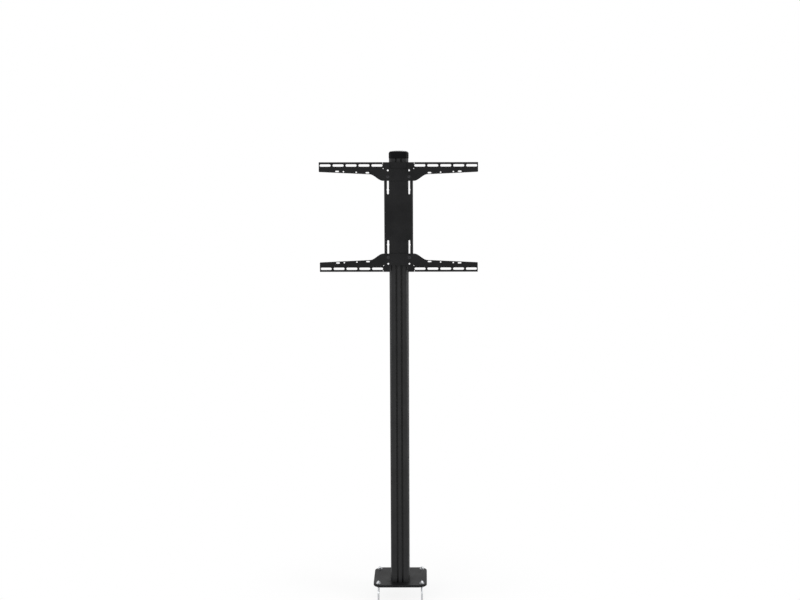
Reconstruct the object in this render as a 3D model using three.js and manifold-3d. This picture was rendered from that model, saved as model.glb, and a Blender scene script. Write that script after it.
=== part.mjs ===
// A floor-bolted column stand: a square foot plate on four floor anchors, an extruded
// column with two front grooves, and a slotted carrier clamped to those grooves.
// Millimetres, +Z up, front towards -Y, origin under the middle of the foot plate.
import * as THREE from "three";
import { mergeVertices } from "three/addons/utils/BufferGeometryUtils.js";
import Module from "manifold-3d";

const wasm = await Module();
wasm.setup();

// Clearances and facet counts
const seat = 0.3; // left between pieces that touch
const overrun = 1.5; // how far a cutting body runs past the face it cuts
const weldDistance = 0.0005; // vertices closer than this are one
const arcSteps = 4; // steps in a quarter turn of an outline
const turnSteps = 16; // steps round a turned piece
const curveSteps = 8; // steps along an S-curve or a crowned edge

// Foot plate
const baseWidth = 215;
const baseDepth = 215;
const baseThick = 10;
const baseCornerRadius = 35;
const anchorInset = 20; // from the plate's edges to an anchor
const baseScrewDiameter = 8;
const baseScrewLength = 42;

// Floor anchors
const anchorDiameter = 8;
const anchorReach = 70; // below the foot plate
const anchorNeckLength = 12;
const anchorConeLength = 7;
const anchorWasherDiameter = 19;
const anchorWasherThick = 1.6;

// Column extrusion
const columnWidth = 75;
const columnDepth = 110;
const columnLength = 1700;
const columnWall = 3.5;
const columnInnerWall = 3;
const columnCornerRadius = 12;
const columnFrontMargin = 30; // from the foot plate's front edge to the column
const portWall = 2.8; // round a base screw's port
const grooveSpacing = 20;
const grooveMouth = 7;
const grooveLip = 3;
const grooveCavityWidth = 14;
const grooveCavityDepth = 8;
const channelMouth = 34;
const channelLip = 2.5;
const channelUndercut = 3;
const channelDepth = 24;

// Cable cover, clipped into the rear channel
const coverEndGap = 80; // open channel left at each end of the column
const coverLeg = 1.6;
const coverHook = 2;

// Top cap
const capHeight = 30;
const capProud = 0.8;
const capCrown = 3.5; // how far the top falls from its middle to its sides
const capEdgeRadius = 8;
const capPlugDepth = 20;
const capWall = 2.5;

// Carrier spine
const mountDrop = 14; // from the column's top end to the carrier's top edge
const spineThick = 4;
const spineFlange = 15;
const spineBend = 6; // outer radius of its folded sides
const spineEdge = 15; // from the bolt line to the folded side
const boltSpread = 41; // from the middle to each bolt line
const bracketTravel = 64; // of each bracket along the spine
const slotGap = 0.5; // round a bracket bolt in its spine slot
const slotRoundDiameter = 10; // of the wide place in a spine slot
const slotRoundFromEnd = 17.5; // from the slot's inner end to the middle of its wide place
const spacerHeight = 40;
const spacerWidth = 62;
const spacerThick = 12;
const clampDrop = 48; // from a bracket's straight edge to the clamp screws
const clampScrewDiameter = 6;
const nutBarLength = 30;
const nutBarThick = 5;
const nutBarSlack = 0.8;

// Slotted brackets
const bracketThick = 3;
const slotRowDistance = 400;
const slotRowInset = 12.5;
const slotPitch = 50;
const slotWeb = 7.5;
const slotWidth = 9;
const slotsPerArm = 5;
const slotStart = 61.5; // from the middle to the first slot
const armEndMargin = 3.5;
const armEndHeight = 37.5;
const armEndRadius = 3;
const armRootHeight = 46.5;
const shoulderGap = 3; // from the spine's side to the foot of the S-curve
const shoulderRun = 54;
const boltDrop = 56; // from the straight edge to the bracket bolts
const boltMargin = 15.8; // from the bracket bolts to the inner edge
const sightDrop = 31.5; // from the straight edge to the open holes
const sightDiameter = 7;
const notchWidth = 70;
const notchDepth = 26;
const notchRadius = 9;
const armFlange = 15;
const armBend = 4; // outer radius of the arm's folded edge
const flangeGap = 6; // from the spine's side to the start of an arm's flange
const reliefInset = 5.6; // from the sloped edge to the small openings
const reliefWidth = 5.5;
const reliefLength = 14;
const pinholeDrop = 24.5; // from the straight edge to the small holes beside the spine
const pinholeDiameter = 4;
const bracketBoltDiameter = 6;
const bracketWasherThick = 1.6;

// Places of the small openings along an arm, and whether each is long
const reliefShares = [
  [0.39, true],
  [0.53, false],
  [0.69, false],
  [0.77, true],
];

// Fastener forms, as shares of the thread's diameter
const flatsShare = 1.63;
const nutHeightShare = 0.8;
const domeHexShare = 0.5; // the hexagon of a low dome nut
const domeHeightShare = 1.05;
const domeWidthShare = 1.5;
const boreDepthShare = 0.8;
const domeThreadShare = 0.65; // how far the anchor rod goes into its dome nut
const washerShare = 2.08;
const sinkHeadShare = 2;
const socketShare = 0.66;
const socketDepthShare = 0.4;
const tailShare = 0.18;
const neckShare = 0.72;

// Worked out
const spineWidth = 2 * (boltSpread + spineEdge);
const spineHalf = spineWidth / 2;
const mountHeight = slotRowDistance + 2 * slotRowInset;
const spineLength = mountHeight - notchDepth;
const centreHeight = boltDrop + boltMargin;
const slotLength = slotPitch - slotWeb;
const armHalf = slotStart + slotsPerArm * slotPitch - slotWeb + armEndMargin;
const shoulderInner = spineHalf + shoulderGap;
const shoulderOuter = shoulderInner + shoulderRun;
const spineBack = -(seat + spacerThick + seat); // all measured from the column's front face
const spineFront = spineBack - spineThick;
const bracketBack = spineFront - seat;
const bracketFront = bracketBack - bracketThick;
const columnBottom = baseThick + seat;
const columnTop = columnBottom + columnLength;
const columnCentreY = -baseDepth / 2 + columnFrontMargin + columnDepth / 2;
const grooveBlockDepth = grooveLip + grooveCavityDepth + columnInnerWall;
const channelBlockDepth = channelLip + channelDepth + columnInnerWall;
const channelHalf = channelMouth / 2 + channelUndercut;
const portRadius = baseScrewDiameter / 2 + seat;
const portX = columnWidth / 2 - columnWall - portRadius - portWall / 2;
const portFrontY = -columnDepth / 2 + grooveBlockDepth + portRadius + portWall;
const portRearY = columnDepth / 2 - channelBlockDepth - portRadius - portWall;

const sides = { left: -1, right: 1 };
const corners = {
  front_left: [-1, -1],
  front_right: [1, -1],
  rear_left: [-1, 1],
  rear_right: [1, 1],
};

// Finishes
function finish(color, roughness, metalness) {
  return new THREE.MeshStandardMaterial({ color, roughness, metalness });
}
const powderCoat = () => finish(0x1d1e20, 0.55, 0.1);
const anodised = () => finish(0x17181a, 0.4, 0.6);
const mouldedPlastic = () => finish(0x1a1a1b, 0.6, 0);
const zinc = () => finish(0xc3c7ca, 0.3, 0.9);
const blackZinc = () => finish(0x242528, 0.4, 0.7);
const castAluminium = () => finish(0x3a3b3d, 0.5, 0.6);

// Closed geometry to a solid and back
function solid(geometry) {
  const plain = geometry.clone();
  plain.deleteAttribute("normal");
  plain.deleteAttribute("uv");
  const welded = mergeVertices(plain, weldDistance);
  const vertProperties = welded.attributes.position.array;
  const triVerts = new Uint32Array(welded.index.array);
  return new wasm.Manifold(new wasm.Mesh({ numProp: 3, vertProperties, triVerts }));
}

function surface(body) {
  const mesh = body.getMesh();
  const geometry = new THREE.BufferGeometry();
  geometry.setAttribute("position", new THREE.BufferAttribute(mesh.vertProperties, 3));
  geometry.setIndex(new THREE.BufferAttribute(mesh.triVerts, 1));
  geometry.computeVertexNormals();
  return geometry;
}

function piece(name, body, material) {
  const mesh = new THREE.Mesh(surface(body), material);
  mesh.name = name;
  return mesh;
}

function cut(body, tools) {
  return tools.reduce((rest, tool) => rest.subtract(tool), body);
}

// Elementary forms
function prism(shape, height, from = 0) {
  const options = { depth: height, bevelEnabled: false, curveSegments: arcSteps };
  return solid(new THREE.ExtrudeGeometry(shape, options).translate(0, 0, from));
}

function block([x0, x1], [y0, y1], [z0, z1]) {
  const box = new THREE.BoxGeometry(x1 - x0, y1 - y0, z1 - z0);
  return solid(box.translate((x0 + x1) / 2, (y0 + y1) / 2, (z0 + z1) / 2));
}

// Radius and height pairs turned about Z
function turned(outline, steps = turnSteps) {
  const points = outline.map(([radius, height]) => new THREE.Vector2(radius, height));
  return solid(new THREE.LatheGeometry(points, steps).rotateX(Math.PI / 2));
}

function rod(radius, from, to, steps = turnSteps) {
  return turned([[0, from], [radius, from], [radius, to], [0, to]], steps);
}

function hexagon(flats, from, to) {
  const radius = flats / Math.sqrt(3);
  const bar = new THREE.CylinderGeometry(radius, radius, to - from, 6);
  return solid(bar.rotateX(Math.PI / 2).translate(0, 0, (from + to) / 2));
}

function roundedRectangle(width, depth, radius) {
  const x = width / 2 - radius;
  const y = depth / 2 - radius;
  const shape = new THREE.Shape();
  shape.absarc(x, -y, radius, -Math.PI / 2, 0);
  shape.absarc(x, y, radius, 0, Math.PI / 2);
  shape.absarc(-x, y, radius, Math.PI / 2, Math.PI);
  shape.absarc(-x, -y, radius, Math.PI, 1.5 * Math.PI);
  return shape;
}

function polygon(points) {
  return new THREE.Shape(points.map(([x, y]) => new THREE.Vector2(x, y)));
}

// A hole with round ends, its centre at x, y and its length along X or Y
function slotOutline(x, y, lengthX, lengthY) {
  const radius = Math.min(lengthX, lengthY) / 2;
  const reachX = lengthX / 2 - radius;
  const reachY = lengthY / 2 - radius;
  const turn = reachY > 0 ? Math.PI / 2 : 0;
  const path = new THREE.Path();
  path.absarc(x + reachX, y + reachY, radius, turn - Math.PI / 2, turn + Math.PI / 2);
  path.absarc(x - reachX, y - reachY, radius, turn + Math.PI / 2, turn + 1.5 * Math.PI);
  return path;
}

const roundOutline = (x, y, diameter) => slotOutline(x, y, diameter, diameter);

// A front-view outline made into sheet whose back face lies at the given depth
function sheet(shape, back, thick) {
  const options = { depth: thick, bevelEnabled: false, curveSegments: arcSteps };
  const plate = new THREE.ExtrudeGeometry(shape, options).rotateX(Math.PI / 2);
  return solid(plate.translate(0, back, 0));
}

// Foot plate, with anchor holes and countersunk holes for the column's screws
function basePlate() {
  const plate = prism(roundedRectangle(baseWidth, baseDepth, baseCornerRadius), baseThick);
  const holes = Object.values(corners).map(([sideX, sideY]) =>
    rod(anchorDiameter / 2 + seat, -overrun, baseThick + overrun).translate(
      sideX * (baseWidth / 2 - anchorInset),
      sideY * (baseDepth / 2 - anchorInset),
      0,
    ),
  );
  const sinks = Object.values(corners).map(([sideX, sideY]) =>
    sunkScrewSpace(baseScrewDiameter, baseThick).translate(
      sideX * portX,
      columnCentreY + (sideY < 0 ? portFrontY : portRearY),
      0,
    ),
  );
  return piece("base_plate", cut(plate, [...holes, ...sinks]), powderCoat());
}

// Countersunk screw pointing up Z, its head's flat face at zero
function sunkScrew(diameter, length) {
  const radius = diameter / 2;
  const headRadius = radius * sinkHeadShare;
  const body = turned([
    [0, 0],
    [headRadius, 0],
    [radius, headRadius - radius],
    [radius, length],
    [0, length],
  ]);
  const socket = hexagon(diameter * socketShare, -overrun, diameter * socketDepthShare);
  return body.subtract(socket);
}

// The space that such a screw needs through a plate
function sunkScrewSpace(diameter, depth) {
  const radius = diameter / 2;
  const headRadius = radius * sinkHeadShare;
  return turned([
    [0, -overrun],
    [headRadius + seat, -overrun],
    [headRadius + seat, seat],
    [radius + seat, headRadius - radius + seat],
    [radius + seat, depth + overrun],
    [0, depth + overrun],
  ]);
}

function baseScrew(corner) {
  const [sideX, sideY] = corners[corner];
  const screw = sunkScrew(baseScrewDiameter, baseScrewLength);
  const mesh = piece(`base_screw_${corner}`, screw, zinc());
  mesh.position.set(sideX * portX, columnCentreY + (sideY < 0 ? portFrontY : portRearY), seat);
  return mesh;
}

// Wedge anchor: threaded rod with a cone at its foot, expansion sleeve, washer and dome nut
function anchor(corner) {
  const [sideX, sideY] = corners[corner];
  const group = new THREE.Group();
  group.position.x = sideX * (baseWidth / 2 - anchorInset);
  group.position.y = sideY * (baseDepth / 2 - anchorInset);
  const washerBottom = baseThick + seat;
  const nutBottom = washerBottom + anchorWasherThick + seat;
  group.add(
    piece(`anchor_rod_${corner}`, anchorRod(nutBottom + anchorDiameter * domeThreadShare), zinc()),
    piece(`anchor_sleeve_${corner}`, anchorSleeve(), zinc()),
    piece(`anchor_washer_${corner}`, washer(anchorWasherDiameter, anchorDiameter,
      anchorWasherThick, washerBottom), zinc()),
    piece(`anchor_nut_${corner}`, domeNut(anchorDiameter).translate(0, 0, nutBottom), zinc()),
  );
  return group;
}

function anchorRod(top) {
  const radius = anchorDiameter / 2;
  const neck = radius * neckShare;
  const coneTop = anchorConeLength - anchorReach;
  const neckTop = coneTop + anchorNeckLength;
  return turned([
    [0, -anchorReach],
    [radius, -anchorReach],
    [neck, coneTop],
    [neck, neckTop],
    [radius, neckTop],
    [radius, top],
    [0, top],
  ]);
}

function anchorSleeve() {
  const inner = (anchorDiameter / 2) * neckShare + seat;
  const outer = anchorDiameter / 2;
  const bottom = anchorConeLength - anchorReach + seat;
  const top = bottom + anchorNeckLength - 2 * seat;
  const ring = turned([[inner, bottom], [outer, bottom], [outer, top], [inner, top], [inner, bottom]]);
  return ring.subtract(block([0, anchorDiameter], [-seat, seat], [bottom - overrun, top + overrun]));
}

function washer(diameter, holeFor, thick, bottom) {
  const inner = holeFor / 2 + seat;
  const outer = diameter / 2;
  const top = bottom + thick;
  return turned([[inner, bottom], [outer, bottom], [outer, top], [inner, top], [inner, bottom]]);
}

function domeNut(diameter) {
  const height = diameter * domeHeightShare;
  const hexTop = diameter * domeHexShare;
  const radius = (diameter * domeWidthShare) / 2;
  const dome = [[0, hexTop / 2], [radius, hexTop / 2]];
  for (let i = 0; i < arcSteps; i += 1) {
    const angle = ((i / arcSteps) * Math.PI) / 2;
    dome.push([radius * Math.cos(angle), hexTop + (height - hexTop) * Math.sin(angle)]);
  }
  dome.push([0, height]);
  const body = hexagon(diameter * flatsShare, 0, hexTop).add(turned(dome));
  return body.subtract(rod(diameter / 2 + seat, -overrun, diameter * boreDepthShare));
}

// Column extrusion: hollow, two T-grooves in front, a lipped cable channel behind and four
// screw ports on its side walls
function column() {
  const halfX = columnWidth / 2;
  const halfY = columnDepth / 2;
  const whole = [-overrun, columnLength + overrun];
  const outer = prism(roundedRectangle(columnWidth, columnDepth, columnCornerRadius), columnLength);
  const innerRadius = columnCornerRadius - columnWall;
  const inner = roundedRectangle(columnWidth - 2 * columnWall, columnDepth - 2 * columnWall, innerRadius);
  const grooveBlockHalf = (grooveSpacing + grooveCavityWidth) / 2 + columnInnerWall;
  const channelBlockHalf = channelHalf + columnInnerWall;
  const kept = [
    block([-grooveBlockHalf, grooveBlockHalf], [-halfY, grooveBlockDepth - halfY], whole),
    block([-channelBlockHalf, channelBlockHalf], [halfY - channelBlockDepth, halfY], whole),
    ...ports(portRadius + portWall),
  ];
  const hollow = cut(prism(inner, columnLength + 2 * overrun, -overrun), kept);
  const grooves = Object.values(sides).flatMap((side) => grooveSpace((side * grooveSpacing) / 2));
  const lipInner = halfY - channelLip;
  const channel = [
    block([-channelMouth / 2, channelMouth / 2], [lipInner - overrun, halfY + overrun], whole),
    block([-channelHalf, channelHalf], [lipInner - channelDepth, lipInner], whole),
  ];
  const body = cut(outer, [hollow, ...grooves, ...channel, ...ports(portRadius)]);
  const mesh = piece("column", body, anodised());
  mesh.position.set(0, columnCentreY, columnBottom);
  return mesh;
}

function ports(radius) {
  return Object.values(corners).map(([sideX, sideY]) =>
    rod(radius, -overrun, columnLength + overrun).translate(
      sideX * portX,
      sideY < 0 ? portFrontY : portRearY,
      0,
    ),
  );
}

function grooveSpace(x) {
  const front = -columnDepth / 2;
  const back = front + grooveLip + grooveCavityDepth;
  const whole = [-overrun, columnLength + overrun];
  return [
    block([x - grooveMouth / 2, x + grooveMouth / 2], [front - overrun, back - overrun], whole),
    block([x - grooveCavityWidth / 2, x + grooveCavityWidth / 2], [front + grooveLip, back], whole),
  ];
}

// Strip that clips behind the lips of the rear channel
function cableCover() {
  const out = columnDepth / 2;
  const lipInner = out - channelLip;
  const hookTop = lipInner - seat;
  const hookFoot = hookTop - coverLeg;
  const mouth = channelMouth / 2 - seat;
  const hook = mouth + coverHook;
  const leg = mouth - coverLeg;
  const half = [
    [mouth, out],
    [mouth, hookTop],
    [hook, hookTop],
    [hook, hookFoot],
    [leg, hookFoot],
    [leg, lipInner],
  ];
  const mirrored = half.map(([x, y]) => [-x, y]).reverse();
  const strip = prism(polygon([...half, ...mirrored]), columnLength - 2 * coverEndGap);
  const mesh = piece("cable_cover", strip, mouldedPlastic());
  mesh.position.set(0, columnCentreY, columnBottom + coverEndGap);
  return mesh;
}

// Edge profile of the cap seen along one axis: flat foot, crowned top, round upper corners
function crownedProfile(width) {
  const half = width / 2;
  const flatHalf = half - capEdgeRadius;
  const points = [[-half, 0], [half, 0]];
  const edgeHeight = capHeight - capCrown;
  for (let i = 0; i <= curveSteps; i += 1) {
    const angle = (i / curveSteps) * (Math.PI / 2);
    const x = flatHalf + capEdgeRadius * Math.cos(angle);
    points.push([x, edgeHeight + capEdgeRadius * (Math.sin(angle) - 1)]);
  }
  for (let i = 1; i < 2 * curveSteps; i += 1) {
    const share = 1 - i / curveSteps;
    points.push([flatHalf * share, edgeHeight + capCrown * (1 - share * share)]);
  }
  for (let i = curveSteps; i >= 0; i -= 1) {
    const angle = (i / curveSteps) * (Math.PI / 2);
    const x = flatHalf + capEdgeRadius * Math.cos(angle);
    points.push([-x, edgeHeight + capEdgeRadius * (Math.sin(angle) - 1)]);
  }
  return polygon(points);
}

function capBlock() {
  const width = columnWidth + 2 * capProud;
  const depth = columnDepth + 2 * capProud;
  const radius = columnCornerRadius + capProud;
  const options = { bevelEnabled: false, curveSegments: arcSteps };
  const acrossWidth = new THREE.ExtrudeGeometry(crownedProfile(width), { ...options, depth });
  const acrossDepth = new THREE.ExtrudeGeometry(crownedProfile(depth), { ...options, depth: width });
  acrossWidth.translate(0, 0, -depth / 2).rotateX(Math.PI / 2);
  acrossDepth.translate(0, 0, -width / 2).rotateX(Math.PI / 2).rotateZ(Math.PI / 2);
  const stem = prism(roundedRectangle(width, depth, radius), capHeight);
  return stem.intersect(solid(acrossWidth)).intersect(solid(acrossDepth));
}

function topCap() {
  const plugHalf = portX - portRadius - portWall - seat;
  const plugFront = -columnDepth / 2 + grooveBlockDepth + seat;
  const plugBack = columnDepth / 2 - channelBlockDepth - seat;
  const plug = block([-plugHalf, plugHalf], [plugFront, plugBack], [-capPlugDepth, overrun]);
  const pocket = block(
    [-plugHalf + capWall, plugHalf - capWall],
    [plugFront + capWall, plugBack - capWall],
    [-capPlugDepth - overrun, capHeight - capCrown - capEdgeRadius - capWall],
  );
  const mesh = piece("top_cap", capBlock().add(plug).subtract(pocket), mouldedPlastic());
  mesh.position.set(0, columnCentreY, columnTop + seat);
  return mesh;
}

// Spine: a folded channel with the bracket bolts' slots, open holes and clamp screw holes.
// Zero height is its top edge, zero depth the column's front face.
function spinePlate() {
  const inner = spineBend - spineThick;
  const foldBack = spineFront + spineFlange;
  const x = spineHalf - spineBend;
  const y = spineFront + spineBend;
  const section = new THREE.Shape();
  section.moveTo(-spineHalf, foldBack);
  section.absarc(-x, y, spineBend, Math.PI, 1.5 * Math.PI);
  section.absarc(x, y, spineBend, 1.5 * Math.PI, 2 * Math.PI);
  section.lineTo(spineHalf, foldBack);
  section.lineTo(spineHalf - spineThick, foldBack);
  section.absarc(x, y, inner, 2 * Math.PI, 1.5 * Math.PI, true);
  section.absarc(-x, y, inner, 1.5 * Math.PI, Math.PI, true);
  section.lineTo(spineThick - spineHalf, foldBack);
  const channel = prism(section, spineLength, -spineLength);
  const outline = (holes) => sheet(holes, spineBack + overrun, spineThick + 2 * overrun);
  const slotWide = bracketBoltDiameter + 2 * slotGap;
  const slotLong = slotWide + bracketTravel;
  const openings = [];
  for (const end of bracketEnds) {
    for (const side of Object.values(sides)) {
      const x0 = side * boltSpread;
      const middle = end.edge + end.inward * (boltDrop + bracketTravel / 2);
      openings.push(outline(shapeOf(slotOutline(x0, middle, slotWide, slotLong))));
      const wideAt = middle + end.inward * (slotLong / 2 - slotRoundFromEnd);
      openings.push(outline(shapeOf(roundOutline(x0, wideAt, slotRoundDiameter))));
      openings.push(outline(shapeOf(roundOutline(x0, end.edge + end.inward * sightDrop, sightDiameter))));
      const sink = sunkScrewSpace(clampScrewDiameter, spineThick);
      openings.push(facingBack(sink, (side * grooveSpacing) / 2, spineFront, clampHeight(end)));
    }
  }
  return piece("spine_plate", cut(channel, openings), powderCoat());
}

function shapeOf(path) {
  return new THREE.Shape(path.getPoints(arcSteps));
}

// The two ends of the carrier: where each bracket's straight edge lies, and which way is inward
const bracketEnds = [
  { name: "upper", edge: 0, inward: -1 },
  { name: "lower", edge: -mountHeight, inward: 1 },
];

const clampHeight = (end) => end.edge + end.inward * clampDrop;

// A body made along Z turned to run backwards from x, y, z
function facingBack(body, x, y, z) {
  return body.rotate([-90, 0, 0]).translate(x, y, z);
}

function spacer(end) {
  const x = spacerWidth / 2;
  const back = -seat;
  const front = back - spacerThick;
  const z = clampHeight(end);
  const body = block([-x, x], [front, back], [z - spacerHeight / 2, z + spacerHeight / 2]);
  const holes = Object.values(sides).map((side) =>
    facingBack(
      rod(clampScrewDiameter / 2 + seat, -overrun, spacerThick + overrun),
      (side * grooveSpacing) / 2,
      front,
      z,
    ),
  );
  return piece(`spacer_${end.name}`, cut(body, holes), castAluminium());
}

function clampScrew(end, sideName) {
  const length = -spineFront + grooveLip + seat + nutBarThick + clampScrewDiameter * tailShare;
  const screw = sunkScrew(clampScrewDiameter, length);
  const mesh = piece(`clamp_screw_${end.name}_${sideName}`, screw, blackZinc());
  mesh.rotation.x = -Math.PI / 2;
  mesh.position.set((sides[sideName] * grooveSpacing) / 2, spineFront + seat, clampHeight(end));
  return mesh;
}

// Sliding nut behind the lips of a groove
function nutBar(end, sideName) {
  const half = grooveCavityWidth / 2 - nutBarSlack;
  const front = grooveLip + seat;
  const body = block([-half, half], [front, front + nutBarThick], [-nutBarLength / 2, nutBarLength / 2]);
  const hole = facingBack(rod(clampScrewDiameter / 2 + seat, -overrun, nutBarThick + overrun), 0, front, 0);
  const mesh = piece(`nut_bar_${end.name}_${sideName}`, body.subtract(hole), zinc());
  mesh.position.set((sides[sideName] * grooveSpacing) / 2, 0, clampHeight(end));
  return mesh;
}

// Height of an arm at a distance from the middle, beyond the S-curve
function armHeightAt(distance) {
  const share = (distance - shoulderOuter) / (armHalf - shoulderOuter);
  return armRootHeight + share * (armEndHeight - armRootHeight);
}

// Right half of a bracket's outline from the notch to the middle of its inner edge,
// the straight edge at zero and the rest below it
function bracketHalf() {
  const points = [];
  const corner = (x, y, radius, from, to) => {
    for (let i = 0; i <= arcSteps; i += 1) {
      const angle = from + ((to - from) * i) / arcSteps;
      points.push([x + radius * Math.cos(angle), y + radius * Math.sin(angle)]);
    }
  };
  const half = notchWidth / 2;
  corner(half - notchRadius, notchRadius - notchDepth, notchRadius, -Math.PI / 2, 0);
  points.push([half, 0]);
  corner(armHalf - armEndRadius, -armEndRadius, armEndRadius, Math.PI / 2, 0);
  const foot = armEndRadius - armHeightAt(armHalf - armEndRadius);
  corner(armHalf - armEndRadius, foot, armEndRadius, 0, -Math.PI / 2);
  for (let i = 0; i <= curveSteps; i += 1) {
    const share = i / curveSteps;
    const ease = (1 - Math.cos(Math.PI * share)) / 2;
    const drop = armRootHeight + (centreHeight - armRootHeight) * ease;
    points.push([shoulderOuter - shoulderRun * share, -drop]);
  }
  return points;
}

function bracketOutline() {
  const half = bracketHalf();
  const mirrored = half.map(([x, y]) => [-x, y]).reverse();
  const shape = polygon([...half, ...mirrored]);
  for (const side of Object.values(sides)) {
    for (let i = 0; i < slotsPerArm; i += 1) {
      const x = slotStart + slotLength / 2 + i * slotPitch;
      shape.holes.push(slotOutline(side * x, -slotRowInset, slotLength, slotWidth));
    }
    for (const [share, long] of reliefShares) {
      const x = share * armHalf;
      const y = reliefInset - armHeightAt(x);
      shape.holes.push(slotOutline(side * x, y, long ? reliefLength : reliefWidth, reliefWidth));
    }
    shape.holes.push(roundOutline(side * boltSpread, -sightDrop, sightDiameter));
    const pinholeX = side * (spineHalf + shoulderGap);
    shape.holes.push(roundOutline(pinholeX, -pinholeDrop, pinholeDiameter));
  }
  return shape;
}

// Section across an arm's folded edge: depth against height, from the sheet to the flange
function foldSection() {
  const y = bracketFront + armBend;
  const back = bracketFront + armFlange;
  const inner = armBend - bracketThick;
  const foot = -armBend - overrun;
  const section = new THREE.Shape();
  section.moveTo(bracketFront, foot);
  section.absarc(y, -armBend, armBend, Math.PI, Math.PI / 2, true);
  section.lineTo(back, 0);
  section.lineTo(back, -bracketThick);
  section.absarc(y, -armBend, inner, Math.PI / 2, Math.PI);
  section.lineTo(bracketBack, foot);
  return section;
}

// The square corner that the bend takes off the flat sheet
function foldWaste() {
  const y = bracketFront + armBend;
  const section = new THREE.Shape();
  section.moveTo(bracketFront - overrun, -armBend);
  section.lineTo(bracketFront, -armBend);
  section.absarc(y, -armBend, armBend, Math.PI, Math.PI / 2, true);
  section.lineTo(y, overrun);
  section.lineTo(bracketFront - overrun, overrun);
  return section;
}

// A section in depth and height carried along X between two distances on one side
function alongArm(section, side, from, to) {
  const options = { depth: to - from, bevelEnabled: false, curveSegments: arcSteps };
  const bar = new THREE.ExtrudeGeometry(section, options);
  bar.rotateX(Math.PI / 2).rotateZ(Math.PI / 2);
  return solid(bar.translate(side > 0 ? from : -to, 0, 0));
}

function bracketPlate(name) {
  const from = spineHalf + flangeGap;
  const to = armHalf - armEndRadius;
  let body = sheet(bracketOutline(), bracketBack, bracketThick);
  for (const side of Object.values(sides)) {
    const sink = sunkScrewSpace(bracketBoltDiameter, bracketThick);
    body = body.subtract(facingBack(sink, side * boltSpread, bracketFront, -boltDrop));
    body = body.subtract(alongArm(foldWaste(), side, from, to));
    body = body.add(alongArm(foldSection(), side, from, to));
  }
  return piece(`${name}_bracket_plate`, body, powderCoat());
}

function hexNut(diameter) {
  const bore = rod(diameter / 2 + seat, -overrun, diameter * nutHeightShare + overrun);
  return hexagon(diameter * flatsShare, 0, diameter * nutHeightShare).subtract(bore);
}

// Countersunk screw, washer and nut that clamp a bracket to the spine. The lower bracket is the
// upper one turned end for end, so what lies on its left is made on the right before it turns.
function bracketBolt({ name, inward }, sideName) {
  const diameter = bracketBoltDiameter;
  const washerFrom = bracketThick + seat + spineThick + seat;
  const nutFrom = washerFrom + bracketWasherThick + seat;
  const length = nutFrom + diameter * (nutHeightShare + tailShare) - seat;
  const screw = sunkScrew(diameter, length).translate(0, 0, seat);
  const ring = washer(diameter * washerShare, diameter, bracketWasherThick, washerFrom);
  const group = new THREE.Group();
  group.add(
    piece(`${name}_bolt_${sideName}`, screw, blackZinc()),
    piece(`${name}_washer_${sideName}`, ring, zinc()),
    piece(`${name}_nut_${sideName}`, hexNut(diameter).translate(0, 0, nutFrom), zinc()),
  );
  group.rotation.x = -Math.PI / 2;
  group.position.set(-inward * sides[sideName] * boltSpread, bracketFront, -boltDrop);
  return group;
}

function bracket(end) {
  const group = new THREE.Group();
  group.add(bracketPlate(end.name));
  for (const sideName of Object.keys(sides)) {
    group.add(bracketBolt(end, sideName));
  }
  group.position.z = end.edge;
  group.rotation.y = end.inward > 0 ? Math.PI : 0;
  return group;
}

function carrier() {
  const group = new THREE.Group();
  group.position.set(0, columnCentreY - columnDepth / 2, columnTop - mountDrop);
  group.add(spinePlate());
  for (const end of bracketEnds) {
    group.add(spacer(end), bracket(end));
    for (const sideName of Object.keys(sides)) {
      group.add(clampScrew(end, sideName), nutBar(end, sideName));
    }
  }
  return group;
}

function stand() {
  const group = new THREE.Group();
  group.add(basePlate(), column(), cableCover(), topCap());
  for (const corner of Object.keys(corners)) {
    group.add(baseScrew(corner), anchor(corner));
  }
  return group;
}

const model = new THREE.Group();
model.add(stand(), carrier());

export default model;
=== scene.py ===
import math
import bpy
import bmesh
import numpy as np
from mathutils import Matrix, Vector, geometry


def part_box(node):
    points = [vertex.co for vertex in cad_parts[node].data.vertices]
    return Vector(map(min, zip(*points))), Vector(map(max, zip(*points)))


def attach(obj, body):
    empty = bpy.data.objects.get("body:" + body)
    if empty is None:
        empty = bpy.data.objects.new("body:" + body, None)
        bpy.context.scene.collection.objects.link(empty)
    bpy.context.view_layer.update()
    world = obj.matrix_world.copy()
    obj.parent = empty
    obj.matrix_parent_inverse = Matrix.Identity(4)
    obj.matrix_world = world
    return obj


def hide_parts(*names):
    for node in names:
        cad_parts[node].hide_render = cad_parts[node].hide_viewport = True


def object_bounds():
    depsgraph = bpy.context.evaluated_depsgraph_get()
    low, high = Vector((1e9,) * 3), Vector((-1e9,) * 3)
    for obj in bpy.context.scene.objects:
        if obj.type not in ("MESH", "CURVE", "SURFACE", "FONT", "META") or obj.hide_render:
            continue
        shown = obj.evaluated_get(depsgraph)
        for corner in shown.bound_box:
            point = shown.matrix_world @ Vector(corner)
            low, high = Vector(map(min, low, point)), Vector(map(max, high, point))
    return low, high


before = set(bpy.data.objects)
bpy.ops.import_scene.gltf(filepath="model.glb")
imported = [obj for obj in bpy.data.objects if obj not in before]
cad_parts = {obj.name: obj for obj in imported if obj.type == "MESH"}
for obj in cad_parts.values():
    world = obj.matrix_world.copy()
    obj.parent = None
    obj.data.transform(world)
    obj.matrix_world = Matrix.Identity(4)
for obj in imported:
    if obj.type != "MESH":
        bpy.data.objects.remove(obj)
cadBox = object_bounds()
for spare in [o for o in bpy.data.objects if o.type in {"LIGHT", "CAMERA"}]:
    bpy.data.objects.remove(spare, do_unlink=True)

sideNames = ("left", "right")
endSigns = {"upper": 1, "lower": -1}
cornerNames = ("front_left", "front_right", "rear_left", "rear_right")


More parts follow.
